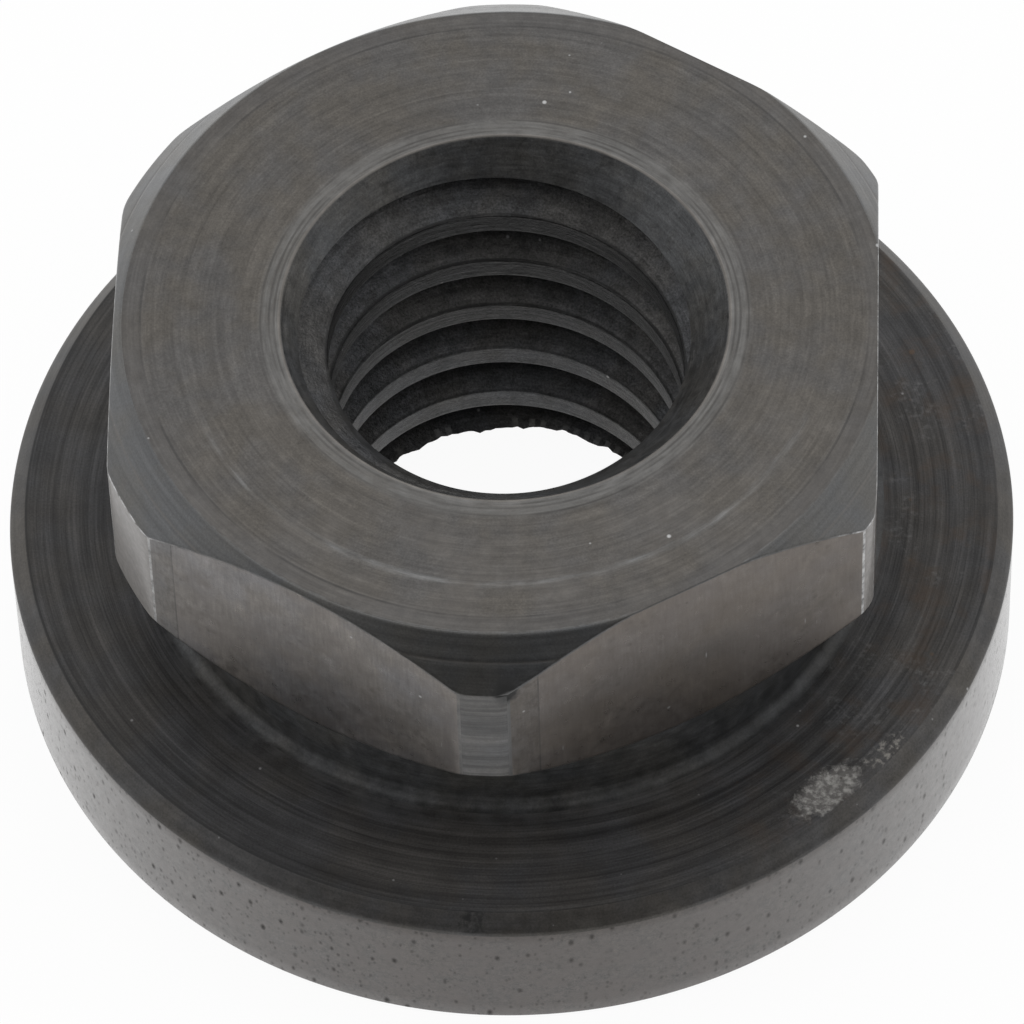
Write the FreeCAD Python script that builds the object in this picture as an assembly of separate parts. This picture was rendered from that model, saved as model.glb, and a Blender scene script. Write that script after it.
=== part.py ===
import FreeCAD, Part
import math
import os

# Flange nut: a hexagon head and a wide bearing flange turned and milled from one bar,
# with a relief groove between them and a real right-hand thread down the middle.
# Millimetres, +Z up, origin in the middle of the bearing face.

# Flange
flange_diameter = 19.05
flange_thickness = 3.25
flange_bevel = 0.32
bearing_edge_break = 0.12

# Hexagon head
nut_height = 9.22
across_flats = 14.1
corner_truncation = 0.27
head_chamfer_angle = 43.0

# Relief groove that the milling cutter runs out into
relief_below_flats = 0.24
relief_wall_height = 1.51
relief_corner_radius = 0.26
relief_slope_angle = 43.0

# Thread, 5/16 inch with 18 threads to the inch
thread_major_diameter = 7.94
thread_pitch = 25.4 / 18
thread_lead_in = 1.93
tap_allowance = 0.19
sink_margin = 0.18
sink_angle = 45.0

# How far cutters reach past what they cut
cutter_overlap = 0.2
tool_clearance = 2.0

up = FreeCAD.Vector(0, 0, 1)
origin = FreeCAD.Vector(0, 0, 0)

# Radii and heights worked out from the driving sizes
flange_radius = flange_diameter / 2
flat_distance = across_flats / 2
corner_radius = flat_distance / math.cos(math.pi / 6) - corner_truncation
top_face_radius = flat_distance
relief_root_radius = flat_distance - relief_below_flats
relief_wall_top = flange_thickness + relief_wall_height
flats_start_height = flange_thickness + relief_wall_height / 2
major_radius = thread_major_diameter / 2
thread_triangle_height = thread_pitch * math.cos(math.pi / 6)
minor_radius = major_radius - 5 / 8 * thread_triangle_height + tap_allowance / 2
sink_radius = major_radius + sink_margin


def point(radius, height):
    """A point of the turned profile, in the XZ plane."""
    return FreeCAD.Vector(radius, 0, height)


def line(start, end):
    return Part.LineSegment(start, end).toShape()


def relief_edges(flange_end, head_start_radius):
    """The groove's small round corner on the flange, its straight wall and the slope under the head."""
    floor_end = point(relief_root_radius + relief_corner_radius, flange_thickness)
    wall_foot = point(relief_root_radius, flange_thickness + relief_corner_radius)
    reach = relief_corner_radius * (1 - math.sqrt(0.5))
    corner_middle = point(relief_root_radius + reach, flange_thickness + reach)
    wall_top = point(relief_root_radius, relief_wall_top)
    rise = (head_start_radius - relief_root_radius) * math.tan(math.radians(relief_slope_angle))
    head_foot = point(head_start_radius, relief_wall_top + rise)
    edges = [line(flange_end, floor_end),
             Part.Arc(floor_end, corner_middle, wall_foot).toShape(),
             line(wall_foot, wall_top), line(wall_top, head_foot)]
    return edges, head_foot


def turned_blank():
    """The bar as it leaves the lathe, before the flats and the bore."""
    chamfer_drop = (corner_radius - top_face_radius) * math.tan(math.radians(head_chamfer_angle))
    base_middle = point(0, 0)
    base_rim = point(flange_radius - bearing_edge_break, 0)
    side_foot = point(flange_radius, bearing_edge_break)
    side_top = point(flange_radius, flange_thickness - flange_bevel)
    bevel_end = point(flange_radius - flange_bevel, flange_thickness)
    groove, head_foot = relief_edges(bevel_end, corner_radius)
    chamfer_foot = point(corner_radius, nut_height - chamfer_drop)
    top_rim = point(top_face_radius, nut_height)
    top_middle = point(0, nut_height)
    edges = [line(base_middle, base_rim), line(base_rim, side_foot),
             line(side_foot, side_top), line(side_top, bevel_end)]
    edges += groove
    edges += [line(head_foot, chamfer_foot), line(chamfer_foot, top_rim),
              line(top_rim, top_middle), line(top_middle, base_middle)]
    profile = Part.Face(Part.Wire(edges))
    return profile.revolve(origin, up, 360)


def flat_cutter():
    """What the six milled flats take off the head, from halfway up the groove's wall."""
    height = nut_height + tool_clearance - flats_start_height
    hexagon_radius = flat_distance / math.cos(math.pi / 6)
    turns = [math.radians(30 + 60 * step) for step in range(7)]
    corners = [FreeCAD.Vector(hexagon_radius * math.cos(turn), hexagon_radius * math.sin(turn),
                              flats_start_height) for turn in turns]
    hexagon = Part.Face(Part.makePolygon(corners)).extrude(up * height)
    ring = Part.makeCylinder(corner_radius + tool_clearance, height, point(0, flats_start_height))
    return ring.cut(hexagon)


def bore():
    """The tapping bore, right through; what it leaves between the grooves is the thread's crest."""
    return Part.makeCylinder(minor_radius, nut_height + 2 * tool_clearance,
                             point(0, -tool_clearance))


def countersink(mouth_height, direction):
    """A cone that opens the bore at one face; direction is +1 at the top and -1 at the base."""
    depth = (sink_radius - minor_radius + cutter_overlap) * math.tan(math.radians(sink_angle))
    reach = tool_clearance * math.tan(math.radians(sink_angle))
    inner_radius = minor_radius - cutter_overlap
    outer_radius = sink_radius + tool_clearance
    low = point(0, mouth_height - direction * depth)
    edges = [line(low, point(inner_radius, low.z)),
             line(point(inner_radius, low.z), point(outer_radius, mouth_height + direction * reach)),
             line(point(outer_radius, mouth_height + direction * reach),
                  point(0, mouth_height + direction * reach)),
             line(point(0, mouth_height + direction * reach), low)]
    return Part.Face(Part.Wire(edges)).revolve(origin, up, 360)


def thread_cutter():
    """The 60 degree thread groove, swept along a right-hand helix past both faces."""
    root_width = thread_pitch / 8
    inner_radius = minor_radius - cutter_overlap
    inner_width = root_width + 2 * (major_radius - inner_radius) * math.tan(math.pi / 6)
    start = -thread_lead_in
    corners = [point(inner_radius, start - inner_width / 2),
               point(major_radius, start - root_width / 2),
               point(major_radius, start + root_width / 2),
               point(inner_radius, start + inner_width / 2)]
    profile = Part.makePolygon(corners + corners[:1])
    helix = Part.makeHelix(thread_pitch, nut_height + 2 * thread_lead_in, major_radius)
    helix.translate(FreeCAD.Vector(0, 0, start))
    return Part.Wire(helix.Edges).makePipeShell([profile], True, True)


def in_half_turns(nut):
    """The same solid with its round walls parted at the XZ plane, so that no strip of the crest
    is one endless face."""
    halves = []
    for turn in (0, 180):
        side = Part.makeCylinder(flange_diameter, nut_height + 2 * tool_clearance,
                                 point(0, -tool_clearance), up, 180)
        side.rotate(origin, up, turn)
        halves.append(nut.common(side))
    return halves[0].fuse(halves[1])


def flange_nut():
    """The grooves are cut before the bore, while they still run into solid metal."""
    nut = turned_blank().cut(flat_cutter())
    nut = nut.cut(thread_cutter())
    nut = nut.cut(bore())
    nut = nut.cut(countersink(nut_height, 1))
    nut = nut.cut(countersink(0, -1))
    return in_half_turns(nut)


os.makedirs("parts", exist_ok=True)
nut = flange_nut()
nut.exportStep("parts/flange_nut.step")
print("flange_nut", "solids", len(nut.Solids), "valid", nut.isValid(), "volume", round(nut.Volume, 2),
      "minor diameter", round(2 * minor_radius, 3))
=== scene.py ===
import math
import bmesh
import bpy
import numpy as np
from mathutils import Matrix, Vector


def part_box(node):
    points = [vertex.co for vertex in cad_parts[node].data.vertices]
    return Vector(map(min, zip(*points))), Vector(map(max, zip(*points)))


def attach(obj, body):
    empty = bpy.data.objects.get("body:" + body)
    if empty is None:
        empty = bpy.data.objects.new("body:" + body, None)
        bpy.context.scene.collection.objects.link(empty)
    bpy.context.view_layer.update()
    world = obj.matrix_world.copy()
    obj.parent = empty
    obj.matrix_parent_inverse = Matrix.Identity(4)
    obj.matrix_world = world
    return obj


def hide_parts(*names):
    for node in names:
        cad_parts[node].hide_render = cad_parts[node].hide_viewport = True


# The looks of the flange nut: one dense mesh that stands for the frame's solid, with the
# thread, the small rounds on its edges and its wear, and a finish for each machined surface.
# Sizes and places of the nut and the camera are millimetres, made metres when they are built,
# and those of the studio are metres. The nut's turns are anticlockwise from +X.

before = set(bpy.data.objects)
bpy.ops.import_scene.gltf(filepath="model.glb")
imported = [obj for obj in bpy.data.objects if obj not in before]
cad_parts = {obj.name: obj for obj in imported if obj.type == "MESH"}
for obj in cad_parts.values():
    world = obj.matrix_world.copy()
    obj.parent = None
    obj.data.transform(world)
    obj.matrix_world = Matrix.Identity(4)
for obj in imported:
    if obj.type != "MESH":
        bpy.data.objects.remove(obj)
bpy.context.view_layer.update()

MM = 0.001
FULL_TURN = 2 * math.pi
low_corner, high_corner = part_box("flange_nut")

# Flange
flange_radius = min(high_corner.x - low_corner.x, high_corner.y - low_corner.y) / 2 / MM
flange_thickness = 3.25
flange_bevel = 0.32
base_break = 0.12
tool_ring_radius = 7.63
tool_ring_width = 0.06
tool_ring_depth = 0.006

# Hexagon head, whose flats were milled and whose corners were turned a little off the thread's axis
nut_height = high_corner.z / MM
flat_distance = 7.05
hexagon_offset = (-0.175, -0.025)
corner_radius = 7.83
corner_offset = (0.01, -0.09)
top_face_radius = 7.07
chamfer_angle = math.radians(43.0)
first_corner_turn = math.radians(30.0)
edge_softness = 0.03
corner_softness = 0.08
chamfer_line_radius = 7.467
chamfer_line_width = 0.03
chamfer_line_depth = 0.004
flat_end_width = 0.42
flat_end_slope = math.tan(math.radians(3.0))
pass_line_width = 0.035

# Relief groove
relief_root = 6.81
relief_corner = 0.26
relief_wall_top = flange_thickness + 1.51
relief_slope = math.radians(43.0)
relief_softness = 0.05
neck_middle = flange_thickness + 0.9

# Thread and countersinks
thread_major = 3.97
thread_minor = 3.301
thread_pitch = 25.4 / 18
thread_start = -1.93
thread_root_width = thread_pitch / 8
flank_slope = math.tan(math.pi / 6)
crest_softness = 0.03
root_softness = 0.06
sink_radius = 4.15
upper_sink_slope = math.tan(math.radians(50.0))
mouth_break = 0.05
burr_reach = 0.11
burr_lean = 0.19
burr_height = 0.045
burr_depth = 0.25
burr_waves = (3, 7, 12, 19, 31, 47, 71, 97)
burr_falloff = 0.3

# Bruises: each a turn in degrees, a radius, a height, its reach outward and along, and its depth
corner_notch = (-88.5, 7.92, 8.4, 0.3, 0.24, 0.015)
bevel_nick = (-92.8, 9.42, 3.2, 0.25, 0.25, 0.06)
flange_bruise = (-46.8, 8.84, 3.25, 0.4, 0.9, 0.03)
small_bruise = (-37.9, 9.04, 3.25, 0.26, 0.5, 0.015)
flat_dent = (-83.8, 7.45, 6.6, 0.22, 0.22, 0.02)
bruises = (corner_notch, bevel_nick, flange_bruise, small_bruise, flat_dent)

# The painted shade round the notch, where its facet faces the way the chamfer does, set like a bruise, and
# the solid share of each one's colour
notch_shade = (-88.3, 7.92, 8.48, 0.38, 0.27, 0.0)
bruise_core = 0.6

# Marks on the finishes: radii on the turned faces, heights on the corner strips, and the flats' heights for
# their painted light and shade
mouth_ring = 4.16
burnished_ring = 4.3
burnished_lines = (4.25, 4.34, 4.5)
worn_ring = 6.0
scribed_ring = 6.72
flange_rim_line = 9.19
strip_lines = (8.13, 7.98, 7.52, 6.14)
flat_foot = 5.4
flat_middle = 6.9
flat_top = 8.8

# Columns of the mesh, with more at the bruises and none closer than their gap
columns = 340
bore_columns = 200
column_gap = 0.0012
turn_digits = 6
edge_rounds = 8
bruise_column_step = math.radians(0.3)
bruise_column_reach = math.radians(4.5)

# Rows and columns beside an edge, and what keeps them in order on a narrow surface
edge_steps = (0.012, 0.03, 0.055, 0.1)
edge_spare = 0.02
edge_share = 0.98

# Rows of the turned faces between their edges: the first place, the last and how many
top_face_rows = (4.5, 6.0, 4)
flange_top_rows = (8.1, 9.15, 9)
flange_side_rows = (2.6, 0.5, 4)
base_rows = (8.6, 5.0, 3)
beside_tool_ring = (7.3, 7.9)
head_start = 6.3

# Rows of the flats, points of the groove's corner, and how far small corners are rounded
flat_row_count = 9
groove_corner_points = 8
corner_round = 0.03
bevel_round = 0.05
bevel_steps = (0.1, 0.22)

# Rows of the thread, as distances from the corners of its root and its crest
root_share = 0.6
root_steps = (0.04, 0.12)
crest_steps = (0.02, 0.05)
flank_row_count = 3

# The rays along which the head's surface is found, from a height on the axis
ray_centre = 6.5
ray_reach = 13.0
ray_halvings = 44

# Gaps that count as none, the angle that stays sharp and how wide an edge is worn
tiny = 1e-6
snap_gap = 0.002
mouth_snap = 0.012
merge_gap = 0.0006
level_gap = merge_gap / 9
sharp_angle = math.radians(24.0)
worn_edge = 0.018

# Camera, which looks at the head's front corner from above and a little to its right
view_azimuth = math.radians(3.09)
view_elevation = math.radians(55.19)
view_roll = math.radians(-1.925)
view_target = (0.015, 0.001, 2.865)
view_distance = 172.4
camera_lens = 319.3
camera_clip_start = 10.0

# How 8-bit levels are made linear, the range of noises, and how rough the coat of oil is
brightest_level = 255
display_gamma = 2.2
noise_range = (0.2, 0.8)
coat_roughness = 0.2

# Studio: a white floor and horizon, a bright back and sides, a dark side behind the camera and
# one soft lamp high at the back
white = (1.0, 1.0, 1.0, 1.0)
floor_size = 3.0
floor_white = 0.95
floor_white_share = 0.95
horizon_band = (0.04, 0.14)
front_depth = (-0.8, -0.15)
front_level = 0.05
back_level = 1.0
lamp_turn = math.radians(180.0)
lamp_rise = math.radians(58.0)
lamp_distance = 0.5
lamp_size = 0.5
lamp_radiance = 0.5

random = np.random.default_rng(5)


def smooth_max(a, b, softness):
    """The larger of two distances, rounded over where they come close."""
    return np.maximum(a, b) + np.maximum(softness - np.abs(a - b), 0) ** 2 / (4 * softness)


def smooth_min(a, b, softness):
    return -smooth_max(-a, -b, softness)


# The hexagon's six flats: the turn of each one's normal and its distance from the axis
flat_turns = [first_corner_turn + FULL_TURN / 12 + FULL_TURN / 6 * side for side in range(6)]
flat_distances = [flat_distance + hexagon_offset[0] * math.cos(turn) + hexagon_offset[1] * math.sin(turn)
                  for turn in flat_turns]

# Where the milling cutter's last pass ends on each flat, as a distance from the flat's middle
end_pass_places = [math.sqrt(corner_radius ** 2 - distance ** 2) - flat_end_width
                   for distance in flat_distances]


def hexagon_gap(radius, turn):
    """How far a point lies outside the nearest flat, each of which turns in a little at one end."""
    gaps = []
    for flat, distance, place in zip(flat_turns, flat_distances, end_pass_places):
        along = radius * np.sin(turn - flat)
        end = np.maximum(-along - place, 0) * flat_end_slope
        gaps.append(radius * np.cos(turn - flat) - distance + end)
    return np.max(gaps, axis=0)


def past_end_pass(turn):
    """How far a flat's column lies past the line where the cutter's last pass ends."""
    past = np.full_like(turn, -flat_distance)
    for flat, distance, place in zip(flat_turns, flat_distances, end_pass_places):
        away = np.mod(flat - turn + FULL_TURN / 2, FULL_TURN) - FULL_TURN / 2
        here = distance * np.tan(np.clip(away, -FULL_TURN / 8, FULL_TURN / 8)) - place
        past = np.where(np.abs(away) < FULL_TURN / 12, here, past)
    return past


def hexagon_radius(turn):
    """The flats' distance from the axis, with their ends still straight."""
    reach = [np.cos(turn - flat) / distance for flat, distance in zip(flat_turns, flat_distances)]
    return 1 / np.max(reach, axis=0)


def strip_radius(turn):
    """The turned corner strips' distance from the axis."""
    return corner_radius + corner_offset[0] * np.cos(turn) + corner_offset[1] * np.sin(turn)


def bruise_depth(radius, turn, height):
    """How deep the bruises reach at a point of the surface."""
    depth = np.zeros_like(radius * turn)
    for place, bruise_radius, bruise_height, outward, along, deepest in bruises:
        away = turn - math.radians(place)
        across = np.hypot(radius * np.cos(away) - bruise_radius, height - bruise_height) / outward
        share = np.maximum(1 - np.hypot(across, radius * np.sin(away) / along), 0)
        depth = depth + deepest * share ** 2 * (3 - 2 * share)
    return depth


def head_gap(radius, turn, height):
    """How far a point lies outside the head, with every edge a little soft."""
    chamfer = ((radius - top_face_radius) * math.sin(chamfer_angle)
               + (height - nut_height) * math.cos(chamfer_angle))
    from_line = np.abs(radius - chamfer_line_radius) / chamfer_line_width
    chamfer = chamfer + chamfer_line_depth * np.maximum(1 - from_line, 0)
    slope = ((radius - relief_root) * math.sin(relief_slope)
             - (height - relief_wall_top) * math.cos(relief_slope))
    relief = smooth_min(slope, radius - relief_root, relief_softness)
    sides = smooth_max(radius - strip_radius(turn), hexagon_gap(radius, turn), corner_softness)
    gap = smooth_max(height - nut_height, chamfer, edge_softness)
    for surface in (sides, relief):
        gap = smooth_max(gap, surface, edge_softness)
    return gap + bruise_depth(radius, turn, height)


def on_chamfer(radius):
    """The chamfer's point at a radius, or the top face's inside the rim."""
    return radius, nut_height - np.maximum(radius - top_face_radius, 0) * math.tan(chamfer_angle)


def head_edges(turn):
    """Where each column meets the top rim, the chamfer's tool line, its foot and the side's foot."""
    side = np.minimum(hexagon_radius(turn), strip_radius(turn))
    rim = np.minimum(side, top_face_radius)
    line = [on_chamfer(np.minimum(side, chamfer_line_radius + chamfer_line_width * step))
            for step in (-1, -0.5, 0, 0.5, 1)]
    foot = (side, relief_wall_top + (side - relief_root) * math.tan(relief_slope))
    return on_chamfer(rim), line, on_chamfer(side), foot


def between(start, end, count):
    """Points from one edge to the next in every column, crowded near both edges."""
    run = np.maximum(np.hypot(end[0] - start[0], end[1] - start[1]), tiny)
    near = np.array(edge_steps) / (2 * edge_steps[-1] + edge_spare)
    middle = np.linspace(0, 1, count + 2)[1:-1]
    shares = []
    for step, share in zip(edge_steps, near):
        shares.append(np.minimum(step / run, share * edge_share))
    first, last = shares[-1], 1 - shares[-1]
    shares += [first + (last - first) * place for place in middle]
    shares += [1 - share for share in reversed(shares[:len(edge_steps)])]
    return [(start[0] + (end[0] - start[0]) * share, start[1] + (end[1] - start[1]) * share)
            for share in shares]


def onto_head(radii, heights, turn):
    """Moves points along their rays until they lie on the head's surface."""
    tilt = np.arctan2(heights - ray_centre, radii)
    near, far = np.zeros_like(tilt), np.full_like(tilt, ray_reach)
    for _ in range(ray_halvings):
        middle = (near + far) / 2
        outside = head_gap(middle * np.cos(tilt), turn, ray_centre + middle * np.sin(tilt)) > 0
        far = np.where(outside, middle, far)
        near = np.where(outside, near, middle)
    return near * np.cos(tilt), ray_centre + near * np.sin(tilt)


def head_rows(turn):
    """Rows of points on the head from its top face down to the neck, with each row's zone."""
    inner = (np.full_like(turn, head_start), np.full_like(turn, nut_height))
    rim, line, chamfer_foot, foot = head_edges(turn)
    wall_top = (np.full_like(turn, relief_root), np.full_like(turn, relief_wall_top))
    neck = (np.full_like(turn, relief_root), np.full_like(turn, neck_middle))
    # Each span's start, its end, how many even rows lie between, and its zone
    spans = [
        (inner, rim, 2, "top_face"),
        (rim, line[0], 0, "chamfer"),
        (line[-1], chamfer_foot, 0, "chamfer"),
        (chamfer_foot, foot, flat_row_count, "side"),
        (foot, wall_top, 1, "relief"),
        (wall_top, neck, 0, "relief"),
    ]
    side_start = 0
    rows, zones = [inner], []
    for start, end, count, zone in spans:
        if start is line[-1]:
            rows += line[1:]
            zones += [zone] * (len(line) - 1)
        points = between(start, end, count) + [end]
        if zone == "side":
            side_start = len(zones)
        rows += points
        zones += [zone] * len(points)
    for row in (side_start - 1, side_start, side_start + 1):
        zones[row] = "edge"
    radii = np.array([row[0] for row in rows])
    heights = np.array([row[1] for row in rows])
    return *onto_head(radii, heights, turn), zones


def column_turns():
    """Evenly spaced columns, with more at the corner strips' edges, the pass lines and the bruises."""
    turns = list(np.arange(columns) * FULL_TURN / columns)
    for flat, distance in zip(flat_turns, flat_distances):
        for side in (-1, 1):
            edge = flat
            for _ in range(edge_rounds):
                edge = flat + side * math.acos(distance / strip_radius(edge))
            for step in (0,) + edge_steps:
                turns += [edge - step / corner_radius, edge + step / corner_radius]
    for flat, distance, place in zip(flat_turns, flat_distances, end_pass_places):
        for step in (-1, 1):
            turns.append(flat - math.atan((place + step * pass_line_width / 2) / distance))
    for bruise in bruises:
        turns += list(math.radians(bruise[0])
                      + np.arange(-bruise_column_reach, bruise_column_reach, bruise_column_step))
    turns = np.unique(np.round(np.mod(turns, FULL_TURN), turn_digits))
    gaps = np.diff(np.append(turns, turns[0] + FULL_TURN))
    return turns[gaps > column_gap]


def arc(centre, radius, start, end, count):
    """Points on an arc of the turned outline, from one angle in degrees to another."""
    turns = np.linspace(math.radians(start), math.radians(end), count)
    return [(centre[0] + radius * math.cos(turn), centre[1] + radius * math.sin(turn)) for turn in turns]


def soft_corner(before, corner, after, reach):
    """Three points that round a corner of the turned outline off."""
    corner = np.array(corner, float)
    first = np.array(before, float) - corner
    second = np.array(after, float) - corner
    start = corner + first / np.linalg.norm(first) * reach
    end = corner + second / np.linalg.norm(second) * reach
    return [tuple(start), tuple((start + end) / 4 + corner / 2), tuple(end)]


def turned_rows():
    """The outline below the head, from the neck round the flange to the lower mouth."""
    before_ring, after_ring = [(radius, flange_thickness) for radius in beside_tool_ring]
    ring = [(tool_ring_radius - tool_ring_width, flange_thickness),
            (tool_ring_radius, flange_thickness - tool_ring_depth),
            (tool_ring_radius + tool_ring_width, flange_thickness)]
    near_edge, off_edge = bevel_steps
    bevel_top = (flange_radius - flange_bevel, flange_thickness)
    bevel_foot = (flange_radius, flange_thickness - flange_bevel)
    side_foot = (flange_radius, base_break)
    base_rim = (flange_radius - base_break, 0)
    mouth = (sink_radius, 0)
    floor_middle = (relief_root + relief_corner, flange_thickness + relief_corner)
    spans = [
        ("relief", arc(floor_middle, relief_corner, 180, 270, groove_corner_points)),
        ("flange_top", [before_ring] + ring + [after_ring]),
        ("flange_top", [(radius, flange_thickness) for radius in np.linspace(*flange_top_rows)]),
        ("flange_top", soft_corner(ring[-1], bevel_top, bevel_foot, corner_round)),
        ("bevel", [(flange_radius - off_edge, flange_thickness - near_edge),
                   (flange_radius - near_edge, flange_thickness - off_edge)]),
        ("bevel", soft_corner(bevel_top, bevel_foot, side_foot, bevel_round)),
        ("flange_side", [(flange_radius, height) for height in np.linspace(*flange_side_rows)]),
        ("flange_side", soft_corner(bevel_foot, side_foot, base_rim, corner_round)),
        ("base", soft_corner(side_foot, base_rim, mouth, corner_round)),
        ("base", [(radius, 0) for radius in np.linspace(*base_rows)]),
        ("base", soft_corner(base_rim, mouth, (sink_radius - 1, 1), corner_round)),
    ]
    rows, zones = [], []
    for zone, points in spans:
        rows += points
        zones += [zone] * len(points)
    return rows, zones


def side_zones(turn):
    """The zone of each column where it crosses the head's sides."""
    middle = (turn + np.roll(turn, -1)) / 2
    past_flat = hexagon_radius(middle) - strip_radius(middle)
    past_pass = past_end_pass(middle)
    zones = []
    for flat, end_pass in zip(past_flat, past_pass):
        if abs(flat) < worn_edge:
            zones.append("edge")
        elif flat > 0:
            zones.append("corner")
        elif abs(end_pass) < pass_line_width / 2:
            zones.append("pass_line")
        elif end_pass > 0:
            zones.append("flat_end")
        else:
            zones.append("side")
    return zones


def body_mesh():
    """Everything but the bore's wall, as a grid of columns and rows."""
    turn = column_turns()
    count = len(turn)
    rows, zones = [], []
    mouth = soft_corner((sink_radius - 1, nut_height - 1), (sink_radius, nut_height),
                        (sink_radius + 1, nut_height), corner_round)
    face = mouth + [(radius, nut_height) for radius in np.linspace(*top_face_rows)]
    for radius, height in face:
        rows.append((np.full(count, radius), np.full(count, height)))
        zones.append("top_face")
    radii, heights, head_zones = head_rows(turn)
    rows += list(zip(radii, heights))
    zones += head_zones
    outline, outline_zones = turned_rows()
    for radius, height in outline:
        radius, height = np.full(count, radius), np.full(count, height)
        # A bruise goes down, and half as far inward
        depth = bruise_depth(radius, turn, height)
        rows.append((radius - depth / 2, height - depth))
    zones += outline_zones
    radius = np.array([row[0] for row in rows])
    height = np.array([row[1] for row in rows])
    points = np.stack([radius * np.cos(turn), radius * np.sin(turn), height], 2).reshape(-1, 3)
    faces, face_zones = [], []
    for row, zone in enumerate(zones):
        here, below = row * count, (row + 1) * count
        for column in range(count):
            after = (column + 1) % count
            faces.append((here + column, below + column, below + after, here + after))
        face_zones += side_zones(turn) if zone == "side" else [zone] * count
    last = (len(rows) - 1) * count
    return points, faces, face_zones, turn, np.arange(count), np.arange(count) + last


def thread_radius(turn, height):
    """The wall of the threaded bore before the countersinks."""
    climb = height - thread_start - thread_pitch * turn / FULL_TURN
    from_root = np.abs((climb + thread_pitch / 2) % thread_pitch - thread_pitch / 2)
    flank = thread_major - (from_root - thread_root_width / 2) / flank_slope
    wall = smooth_max(flank, np.full_like(flank, thread_minor), crest_softness)
    return smooth_min(wall, np.full_like(flank, thread_major), root_softness)


burr_phases = random.uniform(0, FULL_TURN, len(burr_waves))


def burr(turn):
    """The uneven edge that the tap left where it broke out at the base."""
    waves = [np.sin(wave * turn + phase) / wave ** burr_falloff
             for wave, phase in zip(burr_waves, burr_phases)]
    return burr_reach - burr_lean * np.cos(turn) + burr_height * np.sum(waves, axis=0)


def upper_sink(turn, height):
    """The upper countersink's wall; it takes a turn because both sinks are called alike."""
    return sink_radius - (nut_height - height) / upper_sink_slope


def lower_sink(turn, height):
    """The lower countersink's wall with the burr, which fades out toward the mouth."""
    return sink_radius - height + burr(turn) * np.clip(height / burr_depth, 0, 1)


def wall_radius(turn, height):
    """The bore's wall, with both sinks cut across the thread."""
    sinks = np.maximum(upper_sink(turn, height), lower_sink(turn, height))
    return np.maximum(thread_radius(turn, height), sinks)


def split(points, faces, level):
    """Cuts each triangle in two along the line where level is zero."""
    value = level(points)
    value = np.where(np.abs(value) < snap_gap, 0, value)
    sign = np.sign(value).astype(int)
    points, crossings, result = list(map(tuple, points)), {}, []
    for face in faces:
        signs = sign[list(face)]
        if signs.min() * signs.max() >= 0:
            result.append(tuple(face))
            continue
        above, below = [], []
        for place in range(3):
            here, there = face[place], face[(place + 1) % 3]
            if sign[here] >= 0:
                above.append(here)
            if sign[here] <= 0:
                below.append(here)
            if sign[here] * sign[there] < 0:
                key = (min(here, there), max(here, there))
                if key not in crossings:
                    share = value[key[0]] / (value[key[0]] - value[key[1]])
                    crossings[key] = len(points)
                    points.append(tuple(a + (b - a) * share
                                        for a, b in zip(points[key[0]], points[key[1]])))
                above.append(crossings[key])
                below.append(crossings[key])
        for part in (above, below):
            result += [(part[0], part[place], part[place + 1]) for place in range(1, len(part) - 1)]
    return np.array(points), np.array(result)


def thread_rows(bottom, top):
    """The heights at which the thread's rows start, crowded at the corners of its root and crest."""
    crest_half = thread_pitch / 2 - thread_root_width / 2 - (thread_major - thread_minor) * flank_slope
    root_edge, crest_edge = thread_root_width / 2, thread_pitch / 2 - crest_half
    half = [0, root_edge * root_share, root_edge, root_edge + root_steps[0]]
    half += list(np.linspace(root_edge + root_steps[1], crest_edge - crest_steps[1], flank_row_count))
    half += [crest_edge + step for step in (-crest_steps[0], 0, *crest_steps)]
    offsets = sorted([-offset for offset in half[1:]] + half + [thread_pitch / 2])
    # The laps start early, because each row climbs a pitch in its turn
    first = math.floor((bottom - thread_start) / thread_pitch) - 2
    last = math.ceil((top - thread_start) / thread_pitch) + 1
    return [thread_start + thread_pitch * lap + offset for lap in range(first, last) for offset in offsets]


def bore_wall():
    """The bore's wall in unrolled turns and heights, with its triangles, between the two mouths."""
    bottom, top = mouth_break, nut_height - mouth_break
    climbs = thread_rows(bottom, top)
    turns = np.linspace(0, FULL_TURN, bore_columns + 1)
    points = np.array([(turn, climb + thread_pitch * turn / FULL_TURN) for climb in climbs for turn in turns])
    width = bore_columns + 1
    faces = []
    for row in range(len(climbs) - 1):
        for column in range(bore_columns):
            corner = row * width + column
            faces.append((corner, corner + 1, corner + width + 1))
            faces.append((corner, corner + width + 1, corner + width))
    faces = np.array(faces)
    middle = points[faces][:, :, 1].mean(axis=1)
    faces = faces[(middle > bottom - thread_pitch / 4) & (middle < top + thread_pitch / 4)]
    for sink in (upper_sink, lower_sink):
        points, faces = split(points, faces, lambda spots: thread_radius(*spots.T) - sink(*spots.T))
    for mouth in (bottom, top):
        near = np.abs(points[:, 1] - mouth) < mouth_snap
        points[near, 1] = mouth
        points, faces = split(points, faces, lambda spots: spots[:, 1] - mouth)
    middle = points[faces][:, :, 1].mean(axis=1)
    faces = faces[(middle > bottom + level_gap) & (middle < top - level_gap)]
    used = np.unique(faces)
    place = np.zeros(len(points), int)
    place[used] = np.arange(len(used))
    return points[used], place[faces], bottom, top


def zip_rings(outer, outer_turns, inner, inner_turns):
    """Triangles between two rings of points, each in order of its turn."""
    steps = sorted([(turn, 0, point) for turn, point in zip(inner_turns, inner)]
                   + [(turn, 1, point) for turn, point in zip(outer_turns, outer)])
    newest = [inner[-1], outer[-1]]
    faces = []
    for _, ring, point in steps:
        faces.append((newest[1], point, newest[0]))
        newest[ring] = point
    return faces


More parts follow.
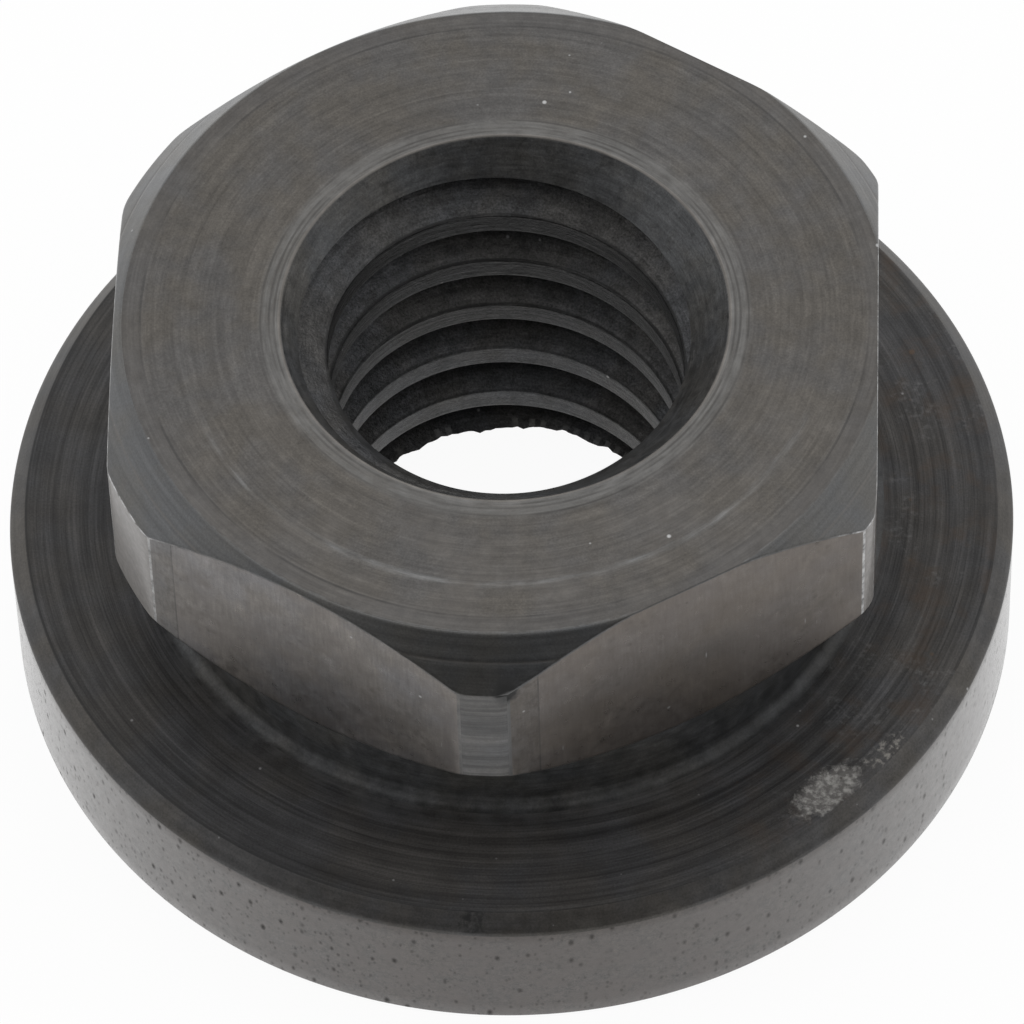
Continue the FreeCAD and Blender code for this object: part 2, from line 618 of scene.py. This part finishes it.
def nut_mesh():
    """The whole closed surface: points in millimetres, faces and each face's zone."""
    points, faces, zones, turn, upper_ring, lower_ring = body_mesh()
    wall, wall_faces, bottom, top = bore_wall()
    start = len(points)
    radius = wall_radius(wall[:, 0], wall[:, 1])
    around = np.stack([radius * np.cos(wall[:, 0]), radius * np.sin(wall[:, 0]), wall[:, 1]], 1)
    points = np.concatenate([points, around])
    beyond_thread = radius - thread_radius(wall[:, 0], wall[:, 1])
    faces += [tuple(face + start) for face in wall_faces]
    zones += ["countersink" if beyond_thread[face].max() > snap_gap else "thread" for face in wall_faces]
    for level, ring in ((top, upper_ring), (bottom, lower_ring)):
        on_level = np.where((np.abs(wall[:, 1] - level) < snap_gap) & (wall[:, 0] < FULL_TURN - tiny))[0]
        on_level = on_level[np.argsort(wall[on_level, 0])]
        strip = zip_rings(ring, turn, on_level + start, wall[on_level, 0])
        if level == bottom:
            strip = [tuple(reversed(face)) for face in strip]
        faces += strip
        zones += ["countersink"] * len(strip)
    return points, faces, zones


def build_nut():
    """The nut's object and the names of its zones, in the order of their material slots."""
    points, faces, zones = nut_mesh()
    mesh = bpy.data.meshes.new("nut_surface")
    mesh.from_pydata([tuple(point * MM) for point in points], [], [tuple(map(int, face)) for face in faces])
    names = list(dict.fromkeys(zones))
    mesh.polygons.foreach_set("material_index", [names.index(zone) for zone in zones])
    surface = bmesh.new()
    surface.from_mesh(mesh)
    bmesh.ops.remove_doubles(surface, verts=surface.verts, dist=merge_gap * MM)
    bmesh.ops.dissolve_degenerate(surface, edges=surface.edges, dist=merge_gap * MM)
    bmesh.ops.recalc_face_normals(surface, faces=surface.faces)
    surface.to_mesh(mesh)
    surface.free()
    mesh.shade_smooth()
    mesh.set_sharp_from_angle(angle=sharp_angle)
    nut = bpy.data.objects.new("nut_surface", mesh)
    bpy.context.scene.collection.objects.link(nut)
    return nut, names


class Shader:
    """Short ways to add and link the nodes of one material or world."""

    def __init__(self, owner):
        self.tree = owner.node_tree
        self.tree.nodes.clear()

    def add(self, kind, inputs=None, **settings):
        node = self.tree.nodes.new(kind)
        for name, value in settings.items():
            setattr(node, name, value)
        for name, value in (inputs or {}).items():
            self.put(node.inputs[name], value)
        return node

    def put(self, socket, value):
        if isinstance(value, bpy.types.NodeSocket):
            self.tree.links.new(value, socket)
        else:
            socket.default_value = value

    def math(self, operation, *values, clamp=False):
        node = self.add("ShaderNodeMath", dict(enumerate(values)), operation=operation, use_clamp=clamp)
        return node.outputs[0]

    def vector(self, operation, *values):
        node = self.add("ShaderNodeVectorMath", operation=operation)
        for place, value in enumerate(values):
            name = "Scale" if operation == "SCALE" and place == 1 else place
            self.put(node.inputs[name], value)
        return node.outputs["Value" if operation == "LENGTH" else "Vector"]

    def axes(self, vector):
        return self.add("ShaderNodeSeparateXYZ", {"Vector": vector}).outputs

    def noise(self, vector, scale, detail=2.0, roughness=0.5):
        node = self.add("ShaderNodeTexNoise", {"Vector": vector, "Scale": scale, "Detail": detail,
                                               "Roughness": roughness})
        return node.outputs["Fac"]

    def remap(self, value, low, high, to_low=0.0, to_high=1.0):
        node = self.add("ShaderNodeMapRange", {"Value": value, "From Min": low, "From Max": high,
                                               "To Min": to_low, "To Max": to_high})
        return node.outputs["Result"]

    def mix(self, share, first, second):
        node = self.add("ShaderNodeMix", {"Factor": share}, data_type="RGBA")
        first_socket, second_socket = [socket for socket in node.inputs if socket.type == "RGBA"]
        self.put(first_socket, first)
        self.put(second_socket, second)
        return next(socket for socket in node.outputs if socket.type == "RGBA")


def grey(level, red=0.0, blue=0.0):
    """A linear colour from an 8-bit level, with a share more of red or blue."""
    linear = (level / brightest_level) ** display_gamma
    return (linear * (1 + red), linear, linear * (1 + blue), 1.0)


class Steel(Shader):
    """Worn black-oxide steel, in millimetre coordinates round the nut's axis."""

    def __init__(self, zone, level, grain=0.12, red=0.04, blue=-0.03, dust=True):
        material = bpy.data.materials.new(zone + "_steel")
        material.use_nodes = True
        super().__init__(material)
        self.material = material
        self.point = self.vector("SCALE", self.add("ShaderNodeTexCoord").outputs["Object"], 1 / MM)
        self.x, self.y, self.height = self.axes(self.point)
        flat = self.vector("MULTIPLY", self.point, (1, 1, 0))
        self.radius = self.vector("LENGTH", flat)
        self.direction = self.vector("NORMALIZE", flat)
        self.turn = self.math("ARCTAN2", self.x, self.both(self.y, -1))
        speckle = self.noise(self.point, 24, 3, 0.7)
        self.relief = self.both(speckle, 0.5)
        self.rough = self.remap(self.noise(self.point, 5, 3), 0.3, 0.7, 0.0, 0.08)
        warm = grey(level, red + 0.03, blue - 0.05)
        cool = grey(level, red - 0.02, blue + 0.03)
        self.colour = self.mix(self.patches(0.7, 0.4, 0.6), warm, cool)
        self.shade(speckle, grain)
        self.dust = dust

    def both(self, first, second):
        """What two masks share, or a share of one mask."""
        return self.math("MULTIPLY", first, second)

    def rings(self, across, per_mm, wander, detail=3.0):
        """Noise drawn out along the turning, so that it reads as tool marks."""
        along = self.vector("SCALE", self.direction, wander)
        step = self.add("ShaderNodeCombineXYZ", {"Z": self.both(across, per_mm)})
        return self.noise(self.vector("ADD", along, step.outputs[0]), 1.0, detail, 0.65)

    def dim(self, factor):
        self.colour = self.vector("SCALE", self.colour, factor)

    def shade(self, noise, tone):
        """Makes the colour lighter and darker with a noise."""
        self.dim(self.remap(noise, *noise_range, 1 - 2 * tone, 1 + 2 * tone))

    def carve(self, noise, ridge):
        """Raises the surface with a noise, by a share of the finish's depth."""
        self.relief = self.math("ADD", self.relief, self.both(noise, ridge))

    def turned_lines(self, across, per_mm, wander, tone, ridge, detail=3.0):
        """Tool marks that show as lighter and darker lines and as small ridges."""
        lines = self.rings(across, per_mm, wander, detail)
        self.shade(lines, tone)
        self.carve(lines, ridge)
        return lines

    def mottle(self, scale, detail, roughness, tone):
        """Clouds of lighter and darker steel."""
        self.shade(self.noise(self.point, scale, detail, roughness), tone)

    def paint(self, mask, colour, share=1.0, rough=0.0):
        """Lays a share of a colour over the steel where the mask is 1, and makes it rougher."""
        mask = self.both(mask, share)
        self.colour = self.mix(mask, self.colour, colour)
        self.rough = self.math("ADD", self.rough, self.both(mask, rough))

    def ring(self, across, place, half_width, softness=0.02):
        """1 on a ring or band at a place, fading over its softness."""
        away = self.math("ABSOLUTE", self.math("SUBTRACT", across, place))
        return self.remap(away, half_width, half_width + softness, 1.0, 0.0)

    def patches(self, scale, low, high, detail=3.0):
        """0 where a noise of this scale is below low, rising to 1 where it is above high."""
        return self.remap(self.noise(self.point, scale, detail, 0.6), low, high)

    def specks(self, stretch, size, share, crisp=2.0):
        """Small spots: a share of the cells hold one, each of its own size."""
        cells = self.add("ShaderNodeTexVoronoi", {"Vector": self.vector("MULTIPLY", self.point, stretch),
                                                  "Scale": 1.0})
        chance = self.add("ShaderNodeSeparateColor", {"Color": cells.outputs["Color"]}).outputs["Red"]
        reach = self.remap(chance, 1 - share, 1.0, 0.0, size)
        edge = self.math("SUBTRACT", reach, cells.outputs["Distance"])
        return self.math("MULTIPLY", edge, crisp / size, clamp=True)

    def bruise(self, place, ragged=0.5):
        """1 in a bruise's middle and falling to 0 at its ragged edge."""
        turn, radius, height, outward, along, _ = place
        turn = math.radians(turn)
        local = self.add("ShaderNodeMapping", {
            "Vector": self.point, "Location": (radius * math.cos(turn), radius * math.sin(turn), height),
            "Rotation": (0, 0, turn), "Scale": (outward, along, outward)}, vector_type="TEXTURE")
        away = self.vector("LENGTH", local.outputs["Vector"])
        uneven = self.remap(self.noise(self.point, 5, 4, 0.7), 0.3, 0.7, -ragged, ragged)
        return self.remap(self.math("ADD", away, uneven), bruise_core, 1.0, 1.0, 0.0)

    def finish(self, metallic=0.7, roughness=0.38, depth=0.004, specular=0.5, coat=0.0):
        if self.dust:
            self.paint(self.specks((1.6, 1.6, 1.6), size=0.085, share=0.7), grey(165))
        normal = self.add("ShaderNodeBump", {"Height": self.relief, "Distance": depth * MM, "Strength": 1.0})
        surface = self.add("ShaderNodeBsdfPrincipled", {
            "Base Color": self.colour, "Metallic": metallic,
            "Roughness": self.math("ADD", self.rough, roughness),
            "Normal": normal.outputs["Normal"], "Specular IOR Level": specular,
            "Coat Weight": coat, "Coat Roughness": coat_roughness})
        self.add("ShaderNodeOutputMaterial", {"Surface": surface.outputs[0]})
        return self.material


def burnish_mouth(steel, dashes, broken):
    """The pale burnished ring round the mouth, with darker lines in it."""
    burnished = steel.both(steel.ring(steel.radius, burnished_ring, 0.13, 0.16),
                           steel.remap(dashes, 0.0, 1.0, 0.5, 1.0))
    steel.paint(burnished, grey(98, 0.02, -0.03))
    for place in burnished_lines:
        line = steel.both(steel.ring(steel.radius, place, 0.01), broken)
        steel.paint(line, grey(62, 0.05, -0.05), share=0.6)
    steel.paint(steel.ring(steel.radius, mouth_ring, 0.015), grey(106, 0.08, -0.08), share=0.6)


def top_face_steel(zone):
    """Fine turning lines, the mouth's ring, two fainter rings, brown patches at the front, a painted
    highlight on its rim.
    """
    steel = Steel(zone, level=78, grain=0.14, red=0.06, blue=-0.06)
    front = steel.remap(steel.y, 0.0, -6.0)
    steel.paint(steel.both(front, steel.patches(0.9, 0.4, 0.7)), grey(85, 0.08, -0.08))
    steel.paint(steel.remap(steel.radius, 6.6, 6.8), grey(80, 0.04, -0.02), share=0.5)
    broken = steel.remap(steel.rings(steel.radius, 2, 2.5), 0.42, 0.58)
    steel.paint(steel.both(broken, steel.ring(steel.radius, scribed_ring, 0.012)), grey(50), share=0.5)
    dashes = steel.remap(steel.rings(steel.radius, 12, 9, 4), 0.4, 0.65)
    worn = steel.both(steel.both(front, broken), steel.remap(dashes, 0.0, 1.0, 0.25, 1.0))
    steel.paint(steel.both(worn, steel.ring(steel.radius, worn_ring, 0.03, 0.07)), grey(112))
    burnish_mouth(steel, dashes, broken)
    # Painted highlight along the front of the rim, where the top face meets the chamfer
    rim = steel.both(steel.ring(steel.radius, top_face_radius, 0.03), front)
    steel.paint(steel.both(rim, steel.patches(5, 0.4, 0.7)), grey(98))
    steel.turned_lines(steel.radius, per_mm=15, wander=1.6, tone=0.12, ridge=1.0)
    steel.mottle(3, 5, 0.65, tone=0.1)
    steel.shade(steel.rings(steel.radius, 10, 9), tone=0.07)
    steel.shade(steel.rings(steel.radius, 3, 1), tone=0.06)
    return steel.finish()


def shade_notch(steel, level, share=0.95):
    """Painted shade round the notch at the front corner's top, as dark as the chamfer beside it."""
    steel.paint(steel.bruise(notch_shade, ragged=0.15), grey(level), share)


def chamfer_steel(zone):
    """Smooth, with one tool line round its middle."""
    steel = Steel(zone, level=89, red=0.0, blue=0.0)
    steel.turned_lines(steel.radius, per_mm=12, wander=1.6, tone=0.14, ridge=0.8)
    line = steel.ring(steel.radius, chamfer_line_radius, 0.006)
    steel.paint(line, grey(105, 0.1, -0.08), share=0.3)
    # Painted shade round the notch
    shade_notch(steel, 83, share=1.0)
    return steel.finish(metallic=0.85, roughness=0.32, coat=0.5)


def milled_steel(zone, level, red):
    """Fine upright streaks; painted shade halfway up and painted light toward the top and on the left."""
    steel = Steel(zone, level, grain=0.1, red=red)
    streaks = steel.noise(steel.vector("MULTIPLY", steel.point, (18, 18, 2)), 1.0, 3, 0.6)
    steel.shade(streaks, tone=0.11)
    steel.carve(streaks, ridge=0.5)
    steel.mottle(1.8, 5, 0.6, tone=0.16)
    # Painted shade, a little warmer, toward the right side
    steel.paint(steel.remap(steel.x, -1.0, 1.0), grey(level - 6, 0.26, -0.22), share=0.4)
    # Painted light and shade by height: darkest halfway up, lighter toward the top and the foot
    steel.dim(steel.remap(steel.height, flat_middle, flat_top, 0.8, 1.12))
    steel.dim(steel.remap(steel.height, flat_foot, flat_middle, 1.35, 1.0))
    # More painted shade toward the right
    steel.dim(steel.remap(steel.x, -1.0, 1.0, 1.02, 0.84))
    return steel


def flat_steel(zone):
    """Milled flats with a warm tint, stains, pits and scratches."""
    steel = milled_steel(zone, level=107, red=0.06)
    steel.paint(steel.patches(0.8, 0.42, 0.62), grey(96, 0.14, -0.08), share=0.3)
    stained = steel.both(steel.patches(0.9, 0.48, 0.62), steel.patches(3.2, 0.42, 0.62, 2))
    steel.paint(stained, grey(64, 0.15, -0.15), share=0.35)
    pits = steel.specks((2.6, 2.6, 2.2), size=0.13, share=0.2)
    steel.paint(pits, grey(58, 0.15, -0.15), share=0.45)
    pocked = steel.both(steel.patches(0.9, 0.45, 0.6), steel.specks((4.5, 4.5, 4), size=0.36, share=0.7))
    steel.paint(pocked, grey(60, 0.2, -0.15), share=0.4)
    scratches = steel.specks((5, 5, 0.9), size=0.12, share=0.14)
    steel.paint(scratches, grey(160), share=0.5)
    return steel.finish(metallic=0.8, roughness=0.27, depth=0.002)


def flat_end_steel(zone):
    """The flats' ends, which the cutter's last pass did not reach."""
    steel = milled_steel(zone, level=99, red=0.05)
    steel.paint(steel.patches(7, 0.5, 0.64, 4), grey(64, 0.2, -0.15), share=0.4)
    # Painted shade round the notch
    shade_notch(steel, 36)
    return steel.finish(metallic=0.8, roughness=0.3, depth=0.002)


def pass_line_steel(zone):
    """The dark broken line where the cutter's last pass ends."""
    steel = milled_steel(zone, level=96, red=0.05)
    steel.paint(steel.patches(3.5, 0.35, 0.65), grey(74, 0.08, -0.05))
    return steel.finish(metallic=0.8, roughness=0.3, depth=0.002)


def edge_steel(zone):
    """Edges of the head rubbed nearly bare, with painted shade toward the right and painted highlights at
    both sides.
    """
    steel = Steel(zone, level=118, grain=0.16)
    steel.paint(steel.patches(5, 0.3, 0.7, 5), grey(90))
    from_middle = steel.math("ABSOLUTE", steel.x)
    steel.paint(steel.remap(from_middle, 0.3, 1.2, 1.0, 0.0), grey(86), share=0.7)
    # Painted shade toward the right
    steel.paint(steel.remap(steel.x, 0.0, 0.5), grey(88), share=0.5)
    # Painted shade round the notch
    shade_notch(steel, 38)
    # Bare wear at both sides, brightened further as painted highlights
    bare = steel.both(steel.remap(from_middle, 6.0, 6.6), steel.patches(6, 0.35, 0.6, 4))
    steel.paint(bare, grey(185))
    return steel.finish(metallic=0.85, roughness=0.3)


def corner_steel(zone):
    """The corner strips keep the bar's turned lines, with painted light, a little rougher, at both sides."""
    steel = Steel(zone, level=70, red=0.02, blue=0.0)
    steel.turned_lines(steel.height, per_mm=7, wander=1.5, tone=0.55, ridge=1.2)
    for height in strip_lines:
        line = steel.both(steel.ring(steel.height, height, 0.02), steel.patches(2.5, 0.3, 0.6))
        steel.paint(line, grey(44, 0.1, -0.05), share=0.8)
    # Painted light on the strips at both sides of the head
    painted_light = steel.remap(steel.math("ABSOLUTE", steel.x), 5.0, 6.2)
    steel.paint(painted_light, grey(130, 0.06, -0.05), share=0.9, rough=0.18)
    steel.mottle(7, 4, 0.7, tone=0.14)
    # Painted shade round the notch
    shade_notch(steel, 36)
    return steel.finish(metallic=0.8, roughness=0.36, depth=0.002, coat=0.6)


def relief_steel(zone):
    """Mottled oxide in the relief groove, with painted shade toward the right."""
    steel = Steel(zone, level=76, grain=0.16, red=0.0, blue=0.0)
    steel.turned_lines(steel.height, per_mm=12, wander=3, tone=0.16, ridge=1.0)
    steel.mottle(2.5, 5, 0.7, tone=0.36)
    # Painted shade toward the right
    steel.dim(steel.remap(steel.x, 0.0, 4.0, 1.0, 0.68))
    return steel.finish(metallic=0.3, roughness=0.42, specular=0.4)


def weather_flange(steel):
    """Rust, brown specks and pale scuffs on the flange's right side."""
    right = steel.remap(steel.x, 3.0, 6.0)
    rust = steel.both(right, steel.patches(1.6, 0.5, 0.7, 6))
    steel.paint(rust, grey(66, 0.45, -0.3), share=0.5, rough=0.08)
    brown = steel.both(right, steel.specks((2.5, 2.5, 2.5), size=0.22, share=0.2))
    steel.paint(brown, grey(74, 0.6, -0.4), share=0.6)
    scuffs = steel.both(steel.patches(1.1, 0.52, 0.62), steel.patches(8, 0.5, 0.7, 5))
    steel.paint(steel.both(scuffs, right), grey(120), share=0.4)


def bruise_flange(steel):
    """The large bruise, part bare and part pitted, and the flakes of the small one beside it."""
    bruised = steel.bruise(flange_bruise, ragged=0.25)
    steel.paint(bruised, grey(108, 0.05, -0.04), share=0.85)
    bare = steel.both(bruised, steel.patches(8, 0.44, 0.62, 4))
    steel.paint(bare, grey(160, 0.02, -0.05), rough=0.1)
    pits = steel.both(bruised, steel.specks((6.5, 6.5, 6.5), size=0.36, share=0.5))
    steel.paint(pits, grey(56, 0.2, -0.2), share=0.75)
    flakes = steel.both(steel.bruise(small_bruise, ragged=0.4), steel.patches(8, 0.5, 0.64, 4))
    steel.paint(flakes, grey(135, 0.05, -0.08), rough=0.1)


def flange_top_steel(zone):
    """Dark oxide under strong turning lines, with painted light in patches near the groove, fading toward the
    right.
    """
    steel = Steel(zone, level=67, grain=0.16, red=0.03, blue=0.0)
    steel.turned_lines(steel.radius, per_mm=16, wander=2, tone=0.28, ridge=1.6, detail=4)
    steel.turned_lines(steel.radius, per_mm=5, wander=1.2, tone=0.26, ridge=1.0)
    steel.mottle(1.5, 4, 0.6, tone=0.12)
    # Painted light in patches near the groove, weaker toward the right
    painted_light = steel.both(steel.remap(steel.radius, 7.0, 7.5, 1.0, 0.0), steel.patches(2.2, 0.4, 0.62))
    steel.paint(steel.both(painted_light, steel.remap(steel.x, 0.0, 4.0, 0.6, 0.25)), grey(98))
    steel.dim(steel.remap(steel.radius, 8.2, 8.8, 1.0, 0.94))
    rim_line = steel.ring(steel.radius, flange_rim_line, 0.012)
    steel.paint(steel.both(rim_line, steel.remap(steel.x, -4.0, 2.0, 0.6, 0.1)), grey(40))
    weather_flange(steel)
    bruise_flange(steel)
    return steel.finish(metallic=0.2, roughness=0.42, depth=0.005, specular=0.2)


def bevel_steel(zone):
    """The flange's bevel, dark in its nick."""
    steel = Steel(zone, level=77, grain=0.16)
    steel.shade(steel.rings(steel.radius, 12, 3), tone=0.12)
    steel.mottle(2.5, 4, 0.6, tone=0.14)
    steel.paint(steel.bruise(bevel_nick), grey(60))
    return steel.finish(metallic=0.55, roughness=0.36, depth=0.003, specular=0.3)


def flange_side_steel(zone):
    """Oiled pale brownish grey with many small dark dry specks drawn out along the axis."""
    steel = Steel(zone, level=54, grain=0.3, red=0.25, blue=-0.15, dust=False)
    clouds = steel.noise(steel.point, 8, 4, 0.75)
    steel.shade(clouds, tone=0.36)
    steel.paint(steel.patches(2.0, 0.35, 0.65), grey(56, 0.34, -0.16))
    large = steel.specks((5.2, 5.2, 3.0), size=0.4, share=0.75, crisp=1.5)
    small = steel.specks((10, 10, 6), size=0.48, share=0.95, crisp=1.5)
    dry = steel.math("MAXIMUM", large, steel.both(small, 0.6))
    dry = steel.both(dry, steel.remap(steel.x, -3.0, 3.0, 1.0, 0.7))
    steel.paint(dry, grey(36, 0.15, -0.15), share=0.75, rough=0.3)
    oil = steel.both(steel.remap(dry, 0.0, 1.0, 1.0, 0.2), steel.remap(clouds, 0.35, 0.6, 0.9, 1.0))
    return steel.finish(metallic=0.8, roughness=0.36, coat=oil)


def base_steel(zone):
    """The plain bearing face."""
    steel = Steel(zone, level=84)
    steel.turned_lines(steel.radius, per_mm=12, wander=2, tone=0.12, ridge=1.2)
    return steel.finish()


def countersink_steel(zone):
    """Chattered rings, scuffed here and there."""
    steel = Steel(zone, level=87, grain=0.2, red=0.0, blue=0.0)
    steel.turned_lines(steel.radius, per_mm=15, wander=3, tone=0.2, ridge=1.5, detail=4)
    steel.mottle(2.5, 5, 0.7, tone=0.2)
    steel.paint(steel.patches(4, 0.56, 0.66, 5), grey(46), share=0.4)
    return steel.finish(metallic=0.75)


def thread_steel(zone):
    """Rough flanks with lines that follow the helix, and darker crests, the upper ones dull."""
    steel = Steel(zone, level=79, grain=0.26, red=0.0, blue=0.02)
    climb = steel.math("SUBTRACT", steel.height, steel.both(steel.turn, thread_pitch / FULL_TURN))
    lines = steel.turned_lines(climb, per_mm=16, wander=2, tone=0.22, ridge=1.5, detail=4)
    steel.mottle(3, 6, 0.75, tone=0.34)
    steel.carve(steel.noise(steel.point, 9, 4, 0.7), ridge=2.5)
    crest_end = thread_minor + crest_softness
    crest = steel.remap(steel.radius, crest_end, crest_end + crest_softness, 1.0, 0.0)
    upper = steel.both(steel.remap(steel.height, 4.0, 5.5), crest)
    dull = steel.both(upper, steel.remap(lines, 0.52, 0.64, 1.0, 0.0))
    steel.dim(steel.remap(steel.height, 6.0, 8.0, 1.05, 0.8))
    steel.paint(crest, grey(52), share=0.35)
    steel.paint(dull, grey(44), share=0.85)
    steel.paint(steel.specks((3.0, 3.0, 3.0), size=0.16, share=0.25), grey(110), share=0.5)
    return steel.finish(metallic=0.7, roughness=0.42, depth=0.01)


finishes = {
    "top_face": top_face_steel,
    "chamfer": chamfer_steel,
    "side": flat_steel,
    "flat_end": flat_end_steel,
    "pass_line": pass_line_steel,
    "edge": edge_steel,
    "corner": corner_steel,
    "relief": relief_steel,
    "flange_top": flange_top_steel,
    "bevel": bevel_steel,
    "flange_side": flange_side_steel,
    "base": base_steel,
    "countersink": countersink_steel,
    "thread": thread_steel,
}


def build_piece():
    nut, zones = build_nut()
    for zone in zones:
        nut.data.materials.append(finishes[zone](zone))
    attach(nut, "root")
    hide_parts("flange_nut")


def seen_directly(shader):
    """1 for rays from the camera and for reflections and refractions, 0 for scattered light."""
    path = shader.add("ShaderNodeLightPath").outputs
    seen = shader.math("ADD", path["Is Camera Ray"], path["Is Glossy Ray"])
    return shader.math("ADD", seen, path["Is Transmission Ray"], clamp=True)


def build_floor():
    """A white floor that keeps the nut's shadow and shows as white in its reflections."""
    bpy.ops.mesh.primitive_plane_add(size=floor_size)
    floor = bpy.context.object
    floor.name = "floor"
    material = bpy.data.materials.new("floor_white")
    material.use_nodes = True
    shader = Shader(material)
    share = shader.math("MULTIPLY", seen_directly(shader), floor_white_share)
    paint = shader.add("ShaderNodeBsdfDiffuse", {"Color": (floor_white, floor_white, floor_white, 1)})
    glow = shader.add("ShaderNodeEmission", {"Color": white, "Strength": 1.0})
    mixed = shader.add("ShaderNodeMixShader", {0: share, 1: paint.outputs[0], 2: glow.outputs[0]})
    shader.add("ShaderNodeOutputMaterial", {"Surface": mixed.outputs[0]})
    floor.data.materials.append(material)


def build_world():
    """A studio that is white at the horizon, bright at the back and sides and dark at the front."""
    world = bpy.data.worlds.new("studio")
    world.use_nodes = True
    bpy.context.scene.world = world
    shader = Shader(world)
    _, depth, rise = shader.axes(shader.add("ShaderNodeTexCoord").outputs["Generated"])
    level = shader.remap(depth, *front_depth, front_level, back_level)
    horizon = shader.remap(rise, *horizon_band, 1.0, 0.0)
    level = shader.math("MAXIMUM", level, horizon)
    light = shader.add("ShaderNodeBackground", {"Color": white, "Strength": level})
    shader.add("ShaderNodeOutputWorld", {"Surface": light.outputs[0]})


def direction(turn, rise):
    """Toward a thing that is turned round the nut from the front and raised above the floor."""
    return Vector((math.sin(turn) * math.cos(rise), -math.cos(turn) * math.cos(rise), math.sin(rise)))


def build_lamp():
    """A square soft lamp aimed at the nut; radiance 1 shows as white in a mirror."""
    lamp = bpy.data.lights.new("soft_back", "AREA")
    lamp.shape = "SQUARE"
    lamp.size = lamp_size
    lamp.energy = lamp_radiance * math.pi * lamp_size ** 2
    holder = bpy.data.objects.new("soft_back", lamp)
    bpy.context.scene.collection.objects.link(holder)
    holder.location = direction(lamp_turn, lamp_rise) * lamp_distance
    holder.rotation_mode = "QUATERNION"
    holder.rotation_quaternion = Vector(holder.location).to_track_quat("Z", "Y")


def build_camera():
    camera = bpy.data.objects.new("camera", bpy.data.cameras.new("camera"))
    bpy.context.scene.collection.objects.link(camera)
    camera.data.lens = camera_lens
    camera.data.clip_start = camera_clip_start * MM
    back = direction(view_azimuth, view_elevation)
    aim = (-back).to_track_quat("-Z", "Y").to_matrix()
    roll = Matrix.Rotation(view_roll, 3, "Z")
    place = (Vector(view_target) + back * view_distance) * MM
    camera.matrix_world = Matrix.Translation(place) @ (aim @ roll).to_4x4()
    bpy.context.scene.camera = camera


build_piece()
build_floor()
build_world()
build_lamp()
build_camera()
bpy.context.scene.view_settings.view_transform = "Standard"
